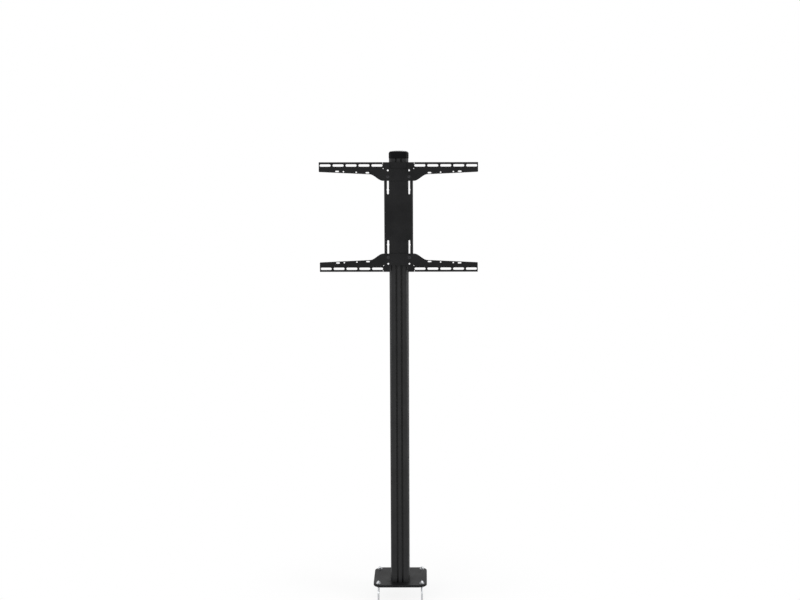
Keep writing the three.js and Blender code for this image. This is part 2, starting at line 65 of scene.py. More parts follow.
# Sizes written in millimetres, given back in metres
def metres(sizes):
    return {name: value * 0.001 for name, value in sizes.items()}


# Lowest corner, highest corner and middle of a frame node
def span(node):
    low, high = (np.array(corner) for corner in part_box(node))
    return low, high, (low + high) / 2


# Camera, at the photograph's distance and height: metres, degrees and a sideways lens shift
view = {
    "lens": 55.182, "sensor": 36.0, "shiftX": -0.03094,
    "place": (0.1008, -4.8545, 1.7337), "down": 6.866, "roll": -0.099,
}


def makeCamera():
    lens = bpy.data.cameras.new("camera")
    lens.lens = view["lens"]
    lens.sensor_width = view["sensor"]
    lens.shift_x = view["shiftX"]
    camera = bpy.data.objects.new("camera", lens)
    bpy.context.collection.objects.link(camera)
    tilt = Matrix.Rotation(math.radians(90 - view["down"]), 4, "X")
    roll = Matrix.Rotation(math.radians(view["roll"]), 4, "Z")
    camera.matrix_world = Matrix.Translation(view["place"]) @ tilt @ roll
    bpy.context.scene.camera = camera


# Room: soft lamps, a white backdrop and a pale floor just under the anchors' feet
room = {
    "skyLevel": 0.55,
    "floorSize": 14.0,
    "floorGap": 0.0005,
    "floorColour": (0.92, 0.92, 0.92, 1),
    "shadowShare": 0.14,
    "shadowNear": 0.25,
    "shadowFar": 0.8,
}
lamps = [
    # name, place, looks at, width, height, watts
    ("key lamp", (-2.6, -4.0, 3.2), (0, 0, 0.9), 2.2, 2.6, 60),
    ("left lamp", (-3.4, -1.2, 1.6), (0, 0, 0.9), 1.6, 3.0, 50),
    ("right lamp", (3.2, -1.7, 1.6), (0, 0, 0.9), 1.6, 3.0, 90),
    ("rear lamp", (0.8, 3.6, 3.2), (0, 0, 1.0), 2.6, 1.6, 30),
]


def addNode(tree, kind, **values):
    node = tree.nodes.new(kind)
    for name, value in values.items():
        if hasattr(node, name):
            setattr(node, name, value)
        else:
            node.inputs[name.replace("_", " ")].default_value = value
    return node


# 1 for what the camera sees, straight or in metal and glass, and 0 for the light on the object
def seenRays(tree):
    rays = addNode(tree, "ShaderNodeLightPath")
    seen = addNode(tree, "ShaderNodeMath", operation="MAXIMUM")
    either = addNode(tree, "ShaderNodeMath", operation="MAXIMUM")
    tree.links.new(rays.outputs["Is Camera Ray"], seen.inputs[0])
    tree.links.new(rays.outputs["Is Glossy Ray"], seen.inputs[1])
    tree.links.new(seen.outputs[0], either.inputs[0])
    tree.links.new(rays.outputs["Is Transmission Ray"], either.inputs[1])
    return either.outputs[0]


def makeSky():
    world = bpy.data.worlds.new("studio")
    world.use_nodes = True
    tree = world.node_tree
    tree.nodes.clear()
    soft = addNode(tree, "ShaderNodeBackground", Strength=room["skyLevel"])
    white = addNode(tree, "ShaderNodeBackground", Strength=1.0)
    soft.inputs["Color"].default_value = (1, 1, 1, 1)
    white.inputs["Color"].default_value = (1, 1, 1, 1)
    blend = addNode(tree, "ShaderNodeMixShader")
    out = addNode(tree, "ShaderNodeOutputWorld")
    tree.links.new(seenRays(tree), blend.inputs[0])
    tree.links.new(soft.outputs[0], blend.inputs[1])
    tree.links.new(white.outputs[0], blend.inputs[2])
    tree.links.new(blend.outputs[0], out.inputs["Surface"])
    bpy.context.scene.world = world


def makeLamps():
    for name, place, target, width, height, watts in lamps:
        lamp = bpy.data.lights.new(name, "AREA")
        lamp.shape = "RECTANGLE"
        lamp.size = width
        lamp.size_y = height
        lamp.energy = watts
        holder = bpy.data.objects.new(name, lamp)
        bpy.context.collection.objects.link(holder)
        holder.location = place
        holder.rotation_euler = (Vector(target) - Vector(place)).to_track_quat("-Z", "Y").to_euler()


# The floor is plain white to the camera, less a share of the object's shadow close to it, and clear
# from below, so that the underside can be looked at
def makeFloor():
    half = room["floorSize"] / 2
    level = cadBox[0][2] - room["floorGap"]
    corners = [(-half, -half, level), (half, -half, level), (half, half, level), (-half, half, level)]
    mesh = bpy.data.meshes.new("floor")
    mesh.from_pydata(corners, [], [(0, 1, 2, 3)])
    floor = bpy.data.objects.new("floor", mesh)
    bpy.context.collection.objects.link(floor)
    material = bpy.data.materials.new("floor")
    material.use_nodes = True
    tree = material.node_tree
    tree.nodes.clear()
    place = addNode(tree, "ShaderNodeTexCoord")
    reach = addNode(tree, "ShaderNodeVectorMath", operation="LENGTH")
    fade = addNode(tree, "ShaderNodeMapRange", interpolation_type="SMOOTHSTEP")
    fade.inputs["From Min"].default_value = room["shadowNear"]
    fade.inputs["From Max"].default_value = room["shadowFar"]
    fade.inputs["To Min"].default_value = 1 - room["shadowShare"]
    fade.inputs["To Max"].default_value = 1
    share = addNode(tree, "ShaderNodeMath", operation="MULTIPLY")
    matt = addNode(tree, "ShaderNodeBsdfDiffuse")
    matt.inputs["Color"].default_value = room["floorColour"]
    glow = addNode(tree, "ShaderNodeEmission", Strength=1.0)
    blend = addNode(tree, "ShaderNodeMixShader")
    side = addNode(tree, "ShaderNodeNewGeometry")
    clear = addNode(tree, "ShaderNodeBsdfTransparent")
    fromAbove = addNode(tree, "ShaderNodeMixShader")
    out = addNode(tree, "ShaderNodeOutputMaterial")
    tree.links.new(place.outputs["Object"], reach.inputs[0])
    tree.links.new(reach.outputs["Value"], fade.inputs["Value"])
    tree.links.new(fade.outputs["Result"], share.inputs[0])
    tree.links.new(seenRays(tree), share.inputs[1])
    tree.links.new(share.outputs[0], blend.inputs[0])
    tree.links.new(matt.outputs[0], blend.inputs[1])
    tree.links.new(glow.outputs[0], blend.inputs[2])
    tree.links.new(side.outputs["Backfacing"], fromAbove.inputs[0])
    tree.links.new(blend.outputs[0], fromAbove.inputs[1])
    tree.links.new(clear.outputs[0], fromAbove.inputs[2])
    tree.links.new(fromAbove.outputs[0], out.inputs["Surface"])
    mesh.materials.append(material)


# Finishes, by slot name: two shades mixed by a soft cloud, roughness between two
# values by the same cloud, and a fine grain as bump, drawn out along Z where stretch is small.
# Shades are linear, and depths are in metres.
looks = {
    "powder_coat": {
        "dark": (0.0075, 0.0076, 0.0079, 1), "light": (0.0112, 0.0113, 0.0117, 1),
        "metallic": 0.0, "specular": 0.09, "smooth": 0.42, "rough": 0.54,
        "cloud": 14, "grain": 900, "stretch": (1, 1, 1), "depth": 0.0001, "strength": 0.8,
    },
    "anodised": {
        "dark": (0.0078, 0.0079, 0.0083, 1), "light": (0.0118, 0.0119, 0.0124, 1),
        "metallic": 0.0, "specular": 0.25, "smooth": 0.3, "rough": 0.42,
        "cloud": 9, "grain": 1100, "stretch": (1, 1, 0.012), "depth": 0.00003, "strength": 0.6,
    },
    "moulded_plastic": {
        "dark": (0.0012, 0.0012, 0.0014, 1), "light": (0.0026, 0.0026, 0.0029, 1),
        "metallic": 0.0, "specular": 0.07, "smooth": 0.4, "rough": 0.52,
        "cloud": 30, "grain": 1400, "stretch": (1, 1, 1), "depth": 0.00008, "strength": 0.7,
    },
    "zinc": {
        "dark": (0.49, 0.50, 0.52, 1), "light": (0.60, 0.61, 0.62, 1),
        "metallic": 1.0, "specular": 0.5, "smooth": 0.2, "rough": 0.32,
        "cloud": 320, "grain": 2600, "stretch": (1, 1, 1), "depth": 0.00001, "strength": 0.3,
    },
    "black_zinc": {
        "dark": (0.020, 0.020, 0.022, 1), "light": (0.045, 0.045, 0.048, 1),
        "metallic": 0.7, "specular": 0.4, "smooth": 0.3, "rough": 0.45,
        "cloud": 220, "grain": 2600, "stretch": (1, 1, 1), "depth": 0.00001, "strength": 0.3,
    },
    "cast_aluminium": {
        "dark": (0.030, 0.031, 0.033, 1), "light": (0.055, 0.056, 0.058, 1),
        "metallic": 0.6, "specular": 0.4, "smooth": 0.42, "rough": 0.6,
        "cloud": 60, "grain": 900, "stretch": (1, 1, 1), "depth": 0.00006, "strength": 0.6,
    },
}
cloudForm = {
    "detail": 3, "rough": 0.6,
    "darkBelow": 0.35, "lightAbove": 0.65, "smoothBelow": 0.3, "roughAbove": 0.7,
}
grainForm = {"detail": 2, "rough": 0.5}


def makeFinish(name, look):
    material = bpy.data.materials.new(name)
    material.use_nodes = True
    tree = material.node_tree
    shader = tree.nodes["Principled BSDF"]
    shader.inputs["Metallic"].default_value = look["metallic"]
    shader.inputs["Specular IOR Level"].default_value = look["specular"]
    place = addNode(tree, "ShaderNodeTexCoord")
    cloud = addNode(tree, "ShaderNodeTexNoise", Scale=look["cloud"],
                    Detail=cloudForm["detail"], Roughness=cloudForm["rough"])
    shades = addNode(tree, "ShaderNodeValToRGB")
    shades.color_ramp.elements[0].position = cloudForm["darkBelow"]
    shades.color_ramp.elements[1].position = cloudForm["lightAbove"]
    shades.color_ramp.elements[0].color = look["dark"]
    shades.color_ramp.elements[1].color = look["light"]
    gloss = addNode(tree, "ShaderNodeMapRange")
    gloss.inputs["From Min"].default_value = cloudForm["smoothBelow"]
    gloss.inputs["From Max"].default_value = cloudForm["roughAbove"]
    gloss.inputs["To Min"].default_value = look["smooth"]
    gloss.inputs["To Max"].default_value = look["rough"]
    draw = addNode(tree, "ShaderNodeMapping", Scale=look["stretch"])
    grain = addNode(tree, "ShaderNodeTexNoise", Scale=look["grain"],
                    Detail=grainForm["detail"], Roughness=grainForm["rough"])
    bump = addNode(tree, "ShaderNodeBump", Strength=look["strength"], Distance=look["depth"])
    tree.links.new(place.outputs["Object"], cloud.inputs["Vector"])
    tree.links.new(place.outputs["Object"], draw.inputs["Vector"])
    tree.links.new(draw.outputs["Vector"], grain.inputs["Vector"])
    tree.links.new(cloud.outputs["Fac"], shades.inputs["Fac"])
    tree.links.new(cloud.outputs["Fac"], gloss.inputs["Value"])
    tree.links.new(grain.outputs["Fac"], bump.inputs["Height"])
    tree.links.new(shades.outputs["Color"], shader.inputs["Base Color"])
    tree.links.new(gloss.outputs["Result"], shader.inputs["Roughness"])
    tree.links.new(bump.outputs["Normal"], shader.inputs["Normal"])
    return material


finishes = {name: makeFinish(name.replace("_", " "), look) for name, look in looks.items()}


samePoint = 1e-8  # metres
almost = 0.9999  # of half a slot's width, which keeps a trace of straight side between its two arcs


# Vectors brought to length 1, and those of no length left alone
def unit(vectors):
    size = np.linalg.norm(vectors, axis=-1, keepdims=True)
    return vectors / np.where(size > 0, size, 1)


# The same loop less each point that repeats the one before
def withoutRepeats(loop):
    return loop[np.linalg.norm(loop - np.roll(loop, 1, 0), axis=1) > samePoint]


# Closed outline from (x, y, radius) corners: each corner gives way to the arc of its radius that
# touches both its sides
def roundedLoop(corners, steps=8):
    corners = np.array(corners, float)
    point, radius = corners[:, :2], corners[:, 2:]
    back = unit(np.roll(point, 1, 0) - point)
    ahead = unit(np.roll(point, -1, 0) - point)
    half = np.arccos(np.clip((back * ahead).sum(1, keepdims=True), -1, 1)) / 2
    centre = point + unit(back + ahead) * radius / np.sin(half)
    reach = radius / np.tan(half)
    fromCentre = point + back * reach - centre
    toCentre = point + ahead * reach - centre
    first = np.arctan2(fromCentre[:, 1], fromCentre[:, 0])
    last = np.arctan2(toCentre[:, 1], toCentre[:, 0])
    sweep = (last - first + np.pi) % (2 * np.pi) - np.pi
    angle = first[:, None] + sweep[:, None] * np.linspace(0, 1, steps + 1)
    arc = centre[:, None, :] + radius[:, :, None] * np.stack([np.cos(angle), np.sin(angle)], -1)
    return withoutRepeats(arc.reshape(-1, 2))


# Round hole, run clockwise so that the material lies on its left
def roundHole(x, y, radius, steps=32):
    angle = np.linspace(0, -2 * np.pi, steps, endpoint=False)
    return np.stack([x + radius * np.cos(angle), y + radius * np.sin(angle)], 1)


# Hole with round ends: a rectangle with corners of half its width, clockwise
def slotHole(x, y, lengthX, lengthY):
    halfX, halfY = lengthX / 2, lengthY / 2
    radius = min(halfX, halfY)
    corners = [(x - halfX, y - halfY), (x - halfX, y + halfY),
               (x + halfX, y + halfY), (x + halfX, y - halfY)]
    return roundedLoop([(*corner, radius * almost) for corner in corners])


# Upright slot with a round wide place: at each height the half width is the larger of the slot's
# and the round's, run clockwise down the right side and up the left
def keyholeSlot(x, y, wide, long, roundAt, roundRadius, steps=8):
    radius, straight = wide / 2, (long - wide) / 2
    meets = math.acos(radius / roundRadius)
    end = straight + radius * np.sin(np.linspace(0, np.pi / 2, steps + 1))
    bulge = roundAt + roundRadius * np.sin(np.linspace(-meets, meets, steps + 1))
    height = np.concatenate([-end[::-1], bulge, end])
    slotHalf = np.sqrt(np.maximum(radius ** 2 - np.maximum(np.abs(height) - straight, 0) ** 2, 0))
    roundHalf = np.sqrt(np.maximum(roundRadius ** 2 - (height - roundAt) ** 2, 0))
    half = np.maximum(slotHalf, roundHalf)
    loop = np.stack([np.append(x + half[::-1], x - half), np.append(y + height[::-1], y + height)], 1)
    return withoutRepeats(loop)


# The same loop with each side cut into the fewest equal parts that are no longer than the step
def stepped(loop, step):
    ahead = np.roll(loop, -1, 0)
    parts = np.ceil(np.linalg.norm(ahead - loop, axis=1) / step).astype(int)
    share = np.concatenate([np.arange(count) / count for count in parts])[:, None]
    return np.repeat(loop, parts, 0) * (1 - share) + np.repeat(ahead, parts, 0) * share


# Rectangle about the middle with rounded corners
def rectangle(halfX, halfY, radius, steps=8):
    corners = [(-halfX, -halfY), (halfX, -halfY), (halfX, halfY), (-halfX, halfY)]
    return roundedLoop([(*corner, radius) for corner in corners], steps)


# How each point of a loop moves when its edge is drawn in by one unit: along the mitre of the
# left-hand normals of its two sides
def inward(loop):
    along = unit(np.roll(loop, -1, 0) - loop)
    left = np.stack([-along[:, 1], along[:, 0]], 1)
    joint = left + np.roll(left, 1, 0)
    return 2 * joint / np.maximum((joint ** 2).sum(1, keepdims=True), 1e-9)


# Rows of (inset, depth) down an edge: a quarter round at each face and a straight run between
def edgeRows(thick, front, back, steps=3):
    angle = np.linspace(0, np.pi / 2, steps + 1)
    head = np.stack([front * (1 - np.sin(angle)), front * (1 - np.cos(angle))], 1)
    foot = np.stack([back * (1 - np.sin(angle)), thick - back * (1 - np.cos(angle))], 1)
    return np.concatenate([head, foot[::-1]])


# Rows down a countersunk hole: a short lip, a 45 degree cone and what is left of the bore
def sinkRows(thick, reach, flush, edge):
    rows = [(reach + edge, 0), (reach, edge), (reach, flush)]
    if flush + reach < thick:
        rows += [(0, flush + reach), (0, thick - edge), (edge, thick)]
    else:
        rows += [(reach + flush - thick, thick)]
    return np.array(rows)


# The same rows seen from the other face: the depth becomes what is left of the thickness
def turnedOver(rows, thick):
    return np.stack([rows[:, 0], thick - rows[:, 1]], 1)[::-1]


# Shells are lists of point rows and of faces that call the points by number
def newShell():
    return {"points": [], "faces": [], "count": 0}


def addRow(shell, points):
    first = shell["count"]
    shell["points"].append(points)
    shell["count"] += len(points)
    return first + np.arange(len(points))


# Quads between two rows of as many points, the last one back to the first in closed rows
def bridge(shell, one, other, closed=True):
    quads = np.stack([one, np.roll(one, -1), np.roll(other, -1), other], 1)
    shell["faces"] += quads.tolist() if closed else quads[:-1].tolist()


netting = {"scale": 1000, "near": 1e-5}  # points are netted in millimetres


# Faces between loops in one plane: a Delaunay net that keeps each loop's edges, of which only the
# triangles stay whose middle has an odd number of edges to its right
def fill(shell, loops, numbers, rows):
    flat = np.concatenate(loops)
    number = np.concatenate(numbers)
    starts = np.cumsum([0] + [len(loop) for loop in loops])
    edge = np.concatenate([
        np.stack([start + np.arange(len(loop)), start + np.roll(np.arange(len(loop)), -1)], 1)
        for start, loop in zip(starts, loops)
    ])
    kept = edge.tolist() + [list(row) for row in rows]
    points = [Vector(point) for point in (flat * netting["scale"]).tolist()]
    _, _, triangles, origins, _, _ = geometry.delaunay_2d_cdt(points, kept, [], 1, netting["near"])
    origin = np.array([found[0] for found in origins])
    triangle = origin[np.array(triangles)]
    middle = flat[triangle].mean(1)
    a, b = flat[edge[:, 0]], flat[edge[:, 1]]
    rise = np.where(a[:, 1] == b[:, 1], 1, b[:, 1] - a[:, 1])
    level = middle[:, None, 1]
    straddles = (a[None, :, 1] > level) != (b[None, :, 1] > level)
    meets = a[None, :, 0] + (level - a[None, :, 1]) * (b[:, 0] - a[:, 0]) / rise
    inside = (straddles & (middle[:, None, 0] < meets)).sum(1) % 2 == 1
    shell["faces"] += number[triangle[inside]].tolist()


# Plate cut to loops in its own plane: each loop is carried down its rows of (inset, depth), and the
# first and last rows are filled. Fold lines are pairs of outline points that keep a row of edges.
def plateShell(loops, profiles, place, folds=()):
    shell = newShell()
    tops, bottoms = [], []
    for loop, profile in zip(loops, profiles):
        drift = inward(loop)
        rings = [loop + drift * inset for inset, _ in profile]
        numbers = [addRow(shell, place(ring[:, 0], ring[:, 1], depth))
                   for ring, (_, depth) in zip(rings, profile)]
        for one, other in zip(numbers, numbers[1:]):
            bridge(shell, one, other)
        tops.append((rings[0], numbers[0]))
        bottoms.append((rings[-1], numbers[-1]))
    outline = loops[0]
    rows = [[int(np.argmin(np.linalg.norm(outline - np.array(end), axis=1))) for end in fold]
            for fold in folds]
    for face in (tops, bottoms):
        fill(shell, [loop for loop, _ in face], [number for _, number in face], rows)
    return shell


# Body turned about its own axis: each row is (radius, height, flats, cut). Where flats isn't 0 the
# radius is held inside a hexagon of that width; cut is how deep a thread's triangle wave goes in.
def turnedShell(rows, place, steps=48, closed=False, pitch=0.001, turn=0.0, opening=0.0):
    shell = newShell()
    rows = np.array([(*row, 0, 0)[:4] for row in rows])
    radius, height, flats, cut = (column[:, None] for column in rows.T)
    angle = np.linspace(opening / 2, 2 * np.pi - opening / 2, steps, endpoint=opening > 0)[None, :]
    fromFlat = (angle + np.pi / 6) % (np.pi / 3) - np.pi / 6
    held = np.minimum(radius, flats / 2 / np.cos(fromFlat))
    wave = np.abs(2 * ((height / pitch - angle / (2 * np.pi)) % 1) - 1)
    reach = np.where(flats > 0, held, radius) - cut * wave
    x, y = reach * np.cos(angle + turn), reach * np.sin(angle + turn)
    numbers = [addRow(shell, place(x[i], y[i], h[0])) for i, h in enumerate(height)]
    pairs = list(zip(numbers, numbers[1:])) + ([(numbers[-1], numbers[0])] if closed else [])
    for one, other in pairs:
        bridge(shell, one, other, closed=opening == 0)
    if opening > 0:
        shell["faces"] += [[int(n[0]) for n in numbers], [int(n[-1]) for n in numbers][::-1]]
    return shell


rowsPerTurn = 8


# Rows of a thread along a shank, dying out over the run-out at its lower end
def threadRows(radius, start, stop, pitch, depth, runOut):
    height = np.linspace(start, stop, int(round(abs(stop - start) / pitch * rowsPerTurn)) + 1)
    cut = depth * np.clip(np.abs(height - start) / runOut, 0, 1)
    return np.stack([np.full_like(height, radius), height, np.zeros_like(height), cut], 1).tolist()


# Where a flat point goes: up along Z from a point, back along Y from a point, or down from a level
def upAxis(x0, y0, z0):
    return lambda x, y, height: np.stack([x0 + x, y0 + y, z0 + height + 0 * x], 1)


def rearAxis(x0, y0, z0):
    return lambda x, z, depth: np.stack([x0 + x, y0 + depth + 0 * x, z0 + z], 1)


def downFrom(top):
    return lambda x, y, depth: np.stack([x, y, top - depth + 0 * x], 1)


shading = {"weld": 1e-6, "sharpAngle": 34}  # metres and degrees


# Finished piece from a shell: doubles merged, faces turned outwards, edges sharp past the angle
def makePiece(name, shell, body, slotName, *nodes):
    mesh = bpy.data.meshes.new(name)
    mesh.from_pydata(np.concatenate(shell["points"]).tolist(), [], shell["faces"])
    work = bmesh.new()
    work.from_mesh(mesh)
    bmesh.ops.remove_doubles(work, verts=work.verts, dist=shading["weld"])
    bmesh.ops.recalc_face_normals(work, faces=work.faces)
    work.to_mesh(mesh)
    work.free()
    mesh.shade_smooth()
    mesh.set_sharp_from_angle(angle=math.radians(shading["sharpAngle"]))
    mesh.materials.append(finishes[slotName])
    piece = bpy.data.objects.new(name, mesh)
    bpy.context.collection.objects.link(piece)
    weights = piece.modifiers.new("flat faces stay flat", "WEIGHTED_NORMAL")
    weights.keep_sharp = True
    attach(piece, body)
    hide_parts(*nodes)
    return piece


# Foot plate, with plain holes for the anchors and holes sunk from below for the column's screws
footPlate = metres({
    "cornerRadius": 35, "topEdge": 1.0, "bottomEdge": 0.6, "anchorHole": 4.3, "screwHole": 4.3,
    "sinkReach": 4, "sinkFlush": 0.3, "holeEdge": 0.4,
})
footPlateSteps = 20


def makeFootPlate():
    low, high, _ = span("base_plate")
    s, thick = footPlate, high[2] - low[2]
    loops = [rectangle(high[0], high[1], s["cornerRadius"], footPlateSteps)]
    profiles = [edgeRows(thick, s["topEdge"], s["bottomEdge"])]
    hole = edgeRows(thick, s["holeEdge"], s["holeEdge"])
    sink = turnedOver(sinkRows(thick, s["sinkReach"], s["sinkFlush"], s["holeEdge"]), thick)
    for corner in cornerNames:
        anchor = span(f"anchor_rod_{corner}")[2]
        screw = span(f"base_screw_{corner}")[2]
        loops += [roundHole(anchor[0], anchor[1], s["anchorHole"]),
                  roundHole(screw[0], screw[1], s["screwHole"])]
        profiles += [hole, sink]
    shell = plateShell(loops, profiles, downFrom(high[2]))
    makePiece("foot_plate", shell, "stand", "powder_coat", "base_plate")


# Column: one section, carried from the foot plate to the cap. Two grooves with lips stand in its
# front and a channel with lips in its back; inside it has one chamber and four screw ports.
columnSection = metres({
    "corner": 12, "lipRound": 0.5, "innerRound": 0.4, "endEdge": 0.3,
    "grooveAt": 10, "grooveMouth": 3.5, "grooveLip": 3, "grooveHalf": 7, "grooveDepth": 8,
    "channelMouth": 17, "channelLip": 2.5, "channelHalf": 20, "channelDepth": 24,
    "wall": 3.5, "webHalf": 21.2, "webFront": 14, "webRear": 29.5, "portFront": 28.2, "portRear": 43.7,
    "portX": 28.3, "portFrontAt": 21.1, "portRearAt": 36.6, "port": 4.3,
})
columnSteps = {"outline": 10, "chamber": 4, "end": 2}


def makeColumn():
    low, high, middle = span("column")
    s = columnSection
    halfX, halfY = high[0], (high[1] - low[1]) / 2
    front = []
    for x in (-s["grooveAt"], s["grooveAt"]):
        lip, back = s["grooveLip"] - halfY, s["grooveLip"] + s["grooveDepth"] - halfY
        mouth, wide = s["grooveMouth"], s["grooveHalf"]
        left = [(x - mouth, -halfY, s["lipRound"]), (x - mouth, lip, s["innerRound"]),
                (x - wide, lip, s["innerRound"]), (x - wide, back, s["lipRound"])]
        front += left + [(2 * x - a, b, r) for a, b, r in left[::-1]]
    lip, back = halfY - s["channelLip"], halfY - s["channelLip"] - s["channelDepth"]
    right = [(s["channelMouth"], halfY, s["innerRound"]), (s["channelMouth"], lip, s["innerRound"]),
             (s["channelHalf"], lip, s["innerRound"]), (s["channelHalf"], back, s["lipRound"])]
    outline = roundedLoop(
        [(-halfX, -halfY, s["corner"]), *front, (halfX, -halfY, s["corner"]), (halfX, halfY, s["corner"])]
        + right + [(-a, b, r) for a, b, r in right[::-1]] + [(-halfX, halfY, s["corner"])],
        columnSteps["outline"])
    leftSide = [(-s["webHalf"], s["webFront"] - halfY), (-s["webHalf"], s["portFront"] - halfY),
                (-halfX + s["wall"], s["portFront"] - halfY), (-halfX + s["wall"], halfY - s["portRear"]),
                (-s["webHalf"], halfY - s["portRear"]), (-s["webHalf"], halfY - s["webRear"])]
    rightSide = [(-a, b) for a, b in leftSide[::-1]]
    chamber = roundedLoop([(*p, s["lipRound"]) for p in leftSide + rightSide], columnSteps["chamber"])
    ports = [roundHole(x * s["portX"], y, s["port"]) for x in (-1, 1)
             for y in (s["portFrontAt"] - halfY, halfY - s["portRearAt"])]
    loops = [outline, chamber, *ports]
    rows = edgeRows(high[2] - low[2], s["endEdge"], s["endEdge"], columnSteps["end"])
    placed = upAxis(0, middle[1], low[2])
    shell = plateShell(loops, [rows] * len(loops), placed)
    makePiece("column_extrusion", shell, "stand", "anodised", "column")


# Cable strip clipped into the rear channel: a flat face on two legs that end in hooks
strip = metres({
    "face": 2.5, "leg": 1.6, "hook": 2, "hookGap": 0.3, "faceEdge": 0.7, "edge": 0.3, "endEdge": 0.2,
})
stripSteps = {"outline": 5, "end": 2}


def makeStrip():
    low, high, _ = span("cable_cover")
    out, hook, edge = high[1], high[0], strip["edge"]
    mouth = hook - strip["hook"]
    inner = mouth - strip["leg"]
    shelf = out - strip["face"] - strip["hookGap"]
    right = [(mouth, out, strip["faceEdge"]), (mouth, shelf, edge), (hook, shelf, edge),
             (hook, low[1], edge), (inner, low[1], edge), (inner, out - strip["face"], edge)]
    outline = roundedLoop(right + [(-a, b, r) for a, b, r in right[::-1]], stripSteps["outline"])[::-1]
    rows = edgeRows(high[2] - low[2], strip["endEdge"], strip["endEdge"], stripSteps["end"])
    shell = plateShell([outline], [rows], upAxis(0, 0, low[2]))
    makePiece("cable_strip", shell, "stand", "moulded_plastic", "cable_cover")


# End cap: the rounded outline rises to a quarter-round edge, then rings shrink to the middle; over
# all of it the height gains crown * (1 - x^2/a^2) * (1 - y^2/b^2), where a and b are half its width
# and depth. A hollow plug below it goes into the column's chamber.
endCap = metres({
    "corner": 12.8, "edge": 8, "crown": 3.5, "step": 3, "foot": 0.5, "wall": 2.5,
    "plugCorner": 1.4, "plugHalf": 20.9, "plugFront": 14.3, "plugRear": 29.8, "plugDepth": 20,
})
capSteps = {"corner": 12, "plug": 4}
capRings = {"foot": 4, "edge": 13, "top": 15}


def makeEndCap():
    low, high, middle = span("top_cap")
    columnLow, columnHigh, _ = span("column")
    columnHalf = (columnHigh[1] - columnLow[1]) / 2
    s = endCap
    halfX, halfY = high[0], (high[1] - low[1]) / 2
    floor, top = low[2] + s["plugDepth"], high[2]
    loop = stepped(rectangle(halfX, halfY, s["corner"], capSteps["corner"]), s["step"])
    drift = inward(loop)
    shell = newShell()
    footAngle = np.linspace(0, np.pi / 2, capRings["foot"])
    edgeAngle = np.linspace(0, np.pi / 2, capRings["edge"])
    shoulder = top - s["crown"] - s["edge"]
    rings = [(loop + drift * s["foot"] * (1 - np.sin(a)), floor + s["foot"] * (1 - np.cos(a)))
             for a in footAngle]
    rings += [(loop + drift * s["edge"] * (1 - np.cos(a)), shoulder + s["edge"] * np.sin(a))
              for a in edgeAngle]
    rim = rings[-1][0]
    rings += [(rim * share, shoulder + s["edge"]) for share in np.linspace(1, 0, capRings["top"])[1:]]
    rows = []
    for ring, height in rings:
        x, y = ring[:, 0], ring[:, 1]
        rise = s["crown"] * (1 - (x / halfX) ** 2) * (1 - (y / halfY) ** 2) * (height >= shoulder)
        rows.append(addRow(shell, np.column_stack([x, y + middle[1], height + rise])))
    for one, other in zip(rows, rows[1:]):
        bridge(shell, one, other)
    plugFront, plugRear = s["plugFront"] - columnHalf, columnHalf - s["plugRear"]
    plugMiddle, plugHalfY = (plugFront + plugRear) / 2, (plugRear - plugFront) / 2
    wall, corner, steps = s["wall"], s["plugCorner"], capSteps["plug"]
    outer = rectangle(s["plugHalf"], plugHalfY, corner, steps) + [0, plugMiddle]
    inner = rectangle(s["plugHalf"] - wall, plugHalfY - wall, corner / 2, steps) + [0, plugMiddle]
    plugRows = []
    for ring, height in ((outer, floor), (outer, low[2]), (inner, low[2]), (inner, shoulder - wall)):
        level = np.full(len(ring), height)
        plugRows.append(addRow(shell, np.column_stack([ring[:, 0], ring[:, 1] + middle[1], level])))
    for one, other in zip(plugRows, plugRows[1:]):
        bridge(shell, one, other)
    fill(shell, [loop + drift * s["foot"], outer[::-1]], [rows[0], plugRows[0][::-1]], [])
    fill(shell, [inner], [plugRows[-1]], [])
    makePiece("end_cap", shell, "stand", "moulded_plastic", "top_cap")


# Spine: a channel folded from a flat blank. A point past a fold line goes round an arc about the
# fold's axis, then straight back along the flange. Drops are measured from a bracket's straight
# edge, and roundAt from a slot's middle.
spine = metres({
    "thick": 4, "bend": 6, "edge": 0.5, "holeEdge": 0.3, "flangeCorner": 4, "boltX": 41,
    "slotWide": 7, "slotLong": 71, "slotDrop": 88, "round": 5, "roundAt": 18,
    "sightDrop": 31.5, "sight": 3.5, "clampX": 10, "clampDrop": 48, "clampHole": 3.3,
    "sinkReach": 3, "sinkFlush": 0.3, "sinkEdge": 0.1,
})
foldSteps = 8
holeSteps = 2


